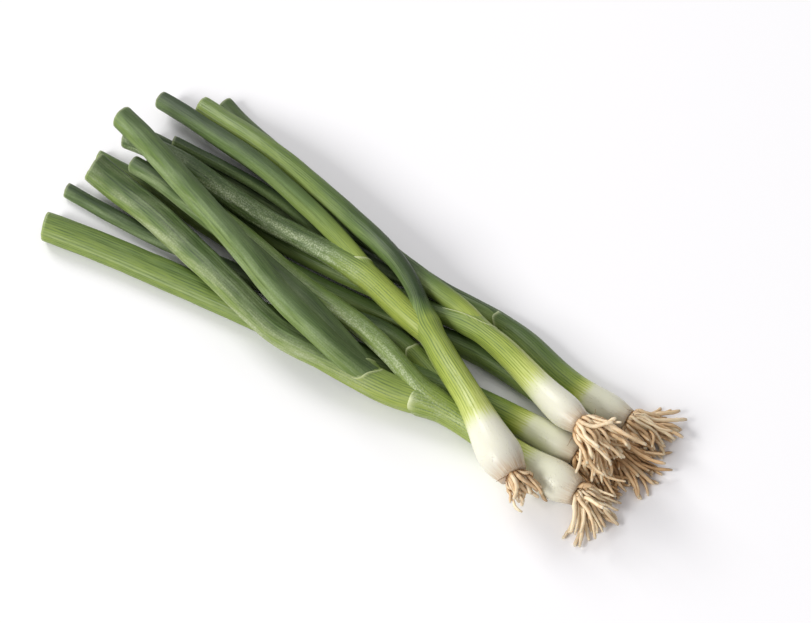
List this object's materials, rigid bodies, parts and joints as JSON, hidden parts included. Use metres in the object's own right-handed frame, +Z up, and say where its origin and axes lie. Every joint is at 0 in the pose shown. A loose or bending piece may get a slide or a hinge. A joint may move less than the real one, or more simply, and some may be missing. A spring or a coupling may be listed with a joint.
{
  "type": "spring onion bunch",
  "caption": "Loose bunch of fresh spring onions lying on a surface, with white bulbs, root tufts and green hollow leaves cut at the top.",
  "frame": {"origin": "centre of the bounding box in plan, on the surface that the bunch lies on", "axes": "+X along the bunch towards the roots, +Y to the left seen with the roots ahead, +Z up"},
  "size_m": [0.3326, 0.125, 0.0332],
  "materials": {
    "shaft": "moist smooth skin, white at the bulb and green at the leaf",
    "leaf": "waxy ribbed green leaf",
    "root": "dry pale tan root"
  },
  "bodies": {
    "root": {"onion_1_shaft": "shaft", "onion_1_leaf_2": "leaf", "onion_1_leaf_3": "leaf", "onion_1_leaf_4": "leaf", "onion_1_roots": "root", "onion_2_shaft": "shaft", "onion_2_leaf_2": "leaf", "onion_2_leaf_3": "leaf", "onion_2_leaf_4": "leaf", "onion_2_roots": "root", "onion_3_shaft": "shaft", "onion_3_leaf_2": "leaf", "onion_3_roots": "root", "onion_4_shaft": "shaft", "onion_4_leaf_2": "leaf", "onion_4_roots": "root", "onion_5_shaft": "shaft", "onion_5_leaf_2": "leaf", "onion_5_roots": "root", "onion_6_shaft": "shaft", "onion_6_roots": "root"}
  },
  "joints": []
}
